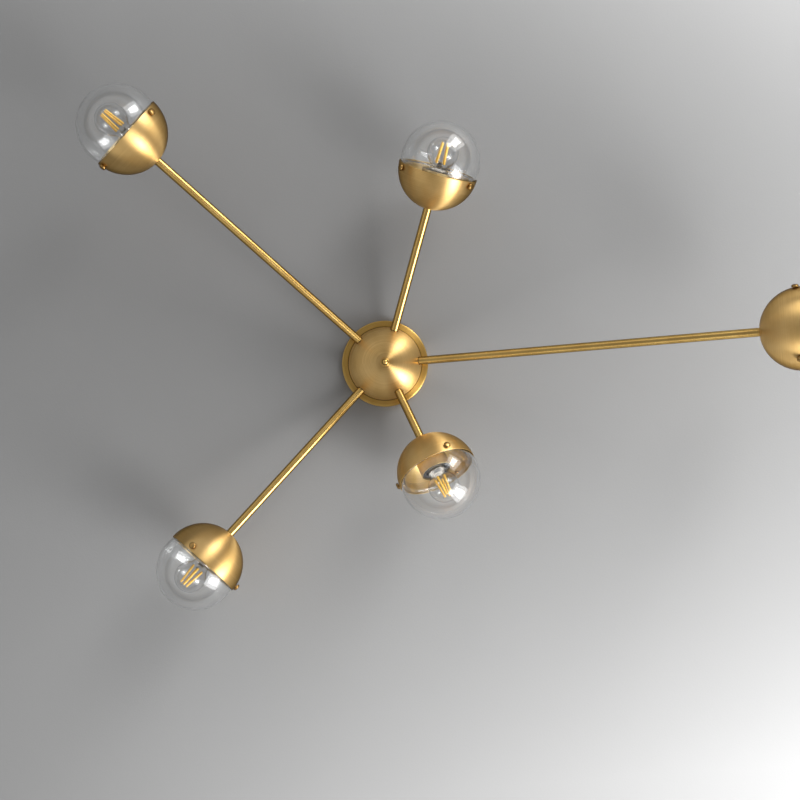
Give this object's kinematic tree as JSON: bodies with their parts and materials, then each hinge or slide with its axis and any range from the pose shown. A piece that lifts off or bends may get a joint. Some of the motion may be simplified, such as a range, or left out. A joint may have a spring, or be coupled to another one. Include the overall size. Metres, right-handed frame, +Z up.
{
  "type": "sputnik chandelier",
  "caption": "Ceiling light with a round plate and dome, staggered radial tube arms, and a metal cup with a clear glass globe and filament bulb at each arm end.",
  "frame": {"origin": "Centre of the two ceiling screw slots, in the face that meets the ceiling.", "axes": "+Z points up at the ceiling and the light hangs below it; +X is the direction of the longest arm, which is also the length of the bracket; +Y completes the right-handed frame."},
  "size_m": [1.0357, 0.7358, 0.2624],
  "materials": {
    "satin_brass": "satin brushed brass under clear lacquer",
    "zinc_steel": "zinc-plated steel",
    "contact_brass": "bright stamped brass contacts",
    "black_thermoset": "black moulded thermoset",
    "terminal_plastic": "white moulded plastic",
    "lead_sheath": "smooth insulated lead",
    "bulb_clear_glass": "clear blown glass",
    "bulb_cap_metal": "plated cap with glass stem and coated filaments",
    "globe_clear_glass": "clear blown glass with an open ground neck"
  },
  "bodies": {
    "light_frame": {"mounting_bracket": "zinc_steel", "base_plate": "satin_brass", "canopy_dome": "satin_brass", "arm_hub": "zinc_steel", "center_stud": "zinc_steel", "terminal_block": "terminal_plastic", "lamp_leads": "lead_sheath", "cup_locknuts": "zinc_steel", "lampholder_contacts": "contact_brass", "arm_tube_1": "satin_brass", "cup_1": "satin_brass", "socket_cup_1": "satin_brass", "lampholder_1": "black_thermoset", "arm_tube_2": "satin_brass", "cup_2": "satin_brass", "socket_cup_2": "satin_brass", "lampholder_2": "black_thermoset", "arm_tube_3": "satin_brass", "cup_3": "satin_brass", "socket_cup_3": "satin_brass", "lampholder_3": "black_thermoset", "arm_tube_4": "satin_brass", "cup_4": "satin_brass", "socket_cup_4": "satin_brass", "lampholder_4": "black_thermoset", "arm_tube_5": "satin_brass", "cup_5": "satin_brass", "socket_cup_5": "satin_brass", "lampholder_5": "black_thermoset"},
    "cap_nut_turning": {"cap_nut": "satin_brass"},
    "globe_loose_1": {"globe_1": "globe_clear_glass"},
    "bulb_loose_1": {"bulb_glass_1": "bulb_clear_glass", "bulb_core_1": "bulb_cap_metal"},
    "thumbscrew_turning_1a": {"thumbscrew_1a": "satin_brass"},
    "thumbscrew_turning_1b": {"thumbscrew_1b": "satin_brass"},
    "thumbscrew_turning_1c": {"thumbscrew_1c": "satin_brass"},
    "globe_loose_2": {"globe_2": "globe_clear_glass"},
    "bulb_loose_2": {"bulb_glass_2": "bulb_clear_glass", "bulb_core_2": "bulb_cap_metal"},
    "thumbscrew_turning_2a": {"thumbscrew_2a": "satin_brass"},
    "thumbscrew_turning_2b": {"thumbscrew_2b": "satin_brass"},
    "thumbscrew_turning_2c": {"thumbscrew_2c": "satin_brass"},
    "globe_loose_3": {"globe_3": "globe_clear_glass"},
    "bulb_loose_3": {"bulb_glass_3": "bulb_clear_glass", "bulb_core_3": "bulb_cap_metal"},
    "thumbscrew_turning_3a": {"thumbscrew_3a": "satin_brass"},
    "thumbscrew_turning_3b": {"thumbscrew_3b": "satin_brass"},
    "thumbscrew_turning_3c": {"thumbscrew_3c": "satin_brass"},
    "globe_loose_4": {"globe_4": "globe_clear_glass"},
    "bulb_loose_4": {"bulb_glass_4": "bulb_clear_glass", "bulb_core_4": "bulb_cap_metal"},
    "thumbscrew_turning_4a": {"thumbscrew_4a": "satin_brass"},
    "thumbscrew_turning_4b": {"thumbscrew_4b": "satin_brass"},
    "thumbscrew_turning_4c": {"thumbscrew_4c": "satin_brass"},
    "globe_loose_5": {"globe_5": "globe_clear_glass"},
    "bulb_loose_5": {"bulb_glass_5": "bulb_clear_glass", "bulb_core_5": "bulb_cap_metal"},
    "thumbscrew_turning_5a": {"thumbscrew_5a": "satin_brass"},
    "thumbscrew_turning_5b": {"thumbscrew_5b": "satin_brass"},
    "thumbscrew_turning_5c": {"thumbscrew_5c": "satin_brass"}
  },
  "joints": [
    {"name": "cap_nut_unscrew", "type": "slide", "parent": "light_frame", "child": "cap_nut_turning", "axis": [0, 0, -1], "range_m": [0, 0.012]},
    {"name": "globe_1_lift_off", "type": "slide", "parent": "light_frame", "child": "globe_loose_1", "axis": [0.3149, 0.8204, -0.4772], "range_m": [0, 0.065]},
    {"name": "bulb_1_unscrew", "type": "slide", "parent": "light_frame", "child": "bulb_loose_1", "axis": [0.3149, 0.8204, -0.4772], "range_m": [0, 0.012]},
    {"name": "thumbscrew_1a_unscrew", "type": "slide", "parent": "light_frame", "child": "thumbscrew_turning_1a", "axis": [0.2873, -0.5616, -0.7759], "range_m": [0, 0.004]},
    {"name": "thumbscrew_1b_unscrew", "type": "slide", "parent": "light_frame", "child": "thumbscrew_turning_1b", "axis": [-0.927, 0.3737, 0.0307], "range_m": [0, 0.004]},
    {"name": "thumbscrew_1c_unscrew", "type": "slide", "parent": "light_frame", "child": "thumbscrew_turning_1c", "axis": [0.6397, 0.1879, 0.7453], "range_m": [0, 0.004]},
    {"name": "globe_2_lift_off", "type": "slide", "parent": "light_frame", "child": "globe_loose_2", "axis": [0.3156, -0.8913, -0.3256], "range_m": [0, 0.065]},
    {"name": "bulb_2_unscrew", "type": "slide", "parent": "light_frame", "child": "bulb_loose_2", "axis": [0.3156, -0.8913, -0.3256], "range_m": [0, 0.012]},
    {"name": "thumbscrew_2a_unscrew", "type": "slide", "parent": "light_frame", "child": "thumbscrew_turning_2a", "axis": [0.752, 0.4442, -0.487], "range_m": [0, 0.004]},
    {"name": "thumbscrew_2b_unscrew", "type": "slide", "parent": "light_frame", "child": "thumbscrew_turning_2b", "axis": [0.1251, -0.301, 0.9454], "range_m": [0, 0.004]},
    {"name": "thumbscrew_2c_unscrew", "type": "slide", "parent": "light_frame", "child": "thumbscrew_turning_2c", "axis": [-0.8771, -0.1432, -0.4584], "range_m": [0, 0.004]},
    {"name": "globe_3_lift_off", "type": "slide", "parent": "light_frame", "child": "globe_loose_3", "axis": [-0.7009, 0.6769, -0.225], "range_m": [0, 0.065]},
    {"name": "bulb_3_unscrew", "type": "slide", "parent": "light_frame", "child": "bulb_loose_3", "axis": [-0.7009, 0.6769, -0.225], "range_m": [0, 0.012]},
    {"name": "thumbscrew_3a_unscrew", "type": "slide", "parent": "light_frame", "child": "thumbscrew_turning_3a", "axis": [-0.1554, -0.4528, -0.878], "range_m": [0, 0.004]},
    {"name": "thumbscrew_3b_unscrew", "type": "slide", "parent": "light_frame", "child": "thumbscrew_turning_3b", "axis": [-0.5251, -0.2763, 0.8049], "range_m": [0, 0.004]},
    {"name": "thumbscrew_3c_unscrew", "type": "slide", "parent": "light_frame", "child": "thumbscrew_turning_3c", "axis": [0.6806, 0.729, 0.0731], "range_m": [0, 0.004]},
    {"name": "globe_4_lift_off", "type": "slide", "parent": "light_frame", "child": "globe_loose_4", "axis": [-0.6686, -0.6686, -0.3256], "range_m": [0, 0.065]},
    {"name": "bulb_4_unscrew", "type": "slide", "parent": "light_frame", "child": "bulb_loose_4", "axis": [-0.6686, -0.6686, -0.3256], "range_m": [0, 0.012]},
    {"name": "thumbscrew_4a_unscrew", "type": "slide", "parent": "light_frame", "child": "thumbscrew_turning_4a", "axis": [0.6719, -0.3556, -0.6497], "range_m": [0, 0.004]},
    {"name": "thumbscrew_4b_unscrew", "type": "slide", "parent": "light_frame", "child": "thumbscrew_turning_4b", "axis": [-0.0601, -0.3878, 0.9198], "range_m": [0, 0.004]},
    {"name": "thumbscrew_4c_unscrew", "type": "slide", "parent": "light_frame", "child": "thumbscrew_turning_4c", "axis": [-0.6119, 0.7434, -0.2701], "range_m": [0, 0.004]},
    {"name": "globe_5_lift_off", "type": "slide", "parent": "light_frame", "child": "globe_loose_5", "axis": [0.9455, 0, -0.3256], "range_m": [0, 0.065]},
    {"name": "bulb_5_unscrew", "type": "slide", "parent": "light_frame", "child": "bulb_loose_5", "axis": [0.9455, 0, -0.3256], "range_m": [0, 0.012]},
    {"name": "thumbscrew_5a_unscrew", "type": "slide", "parent": "light_frame", "child": "thumbscrew_turning_5a", "axis": [-0.2302, 0.7071, -0.6686], "range_m": [0, 0.004]},
    {"name": "thumbscrew_5b_unscrew", "type": "slide", "parent": "light_frame", "child": "thumbscrew_turning_5b", "axis": [0.3145, 0.2588, 0.9133], "range_m": [0, 0.004]},
    {"name": "thumbscrew_5c_unscrew", "type": "slide", "parent": "light_frame", "child": "thumbscrew_turning_5c", "axis": [-0.0843, -0.9659, -0.2447], "range_m": [0, 0.004]}
  ]
}
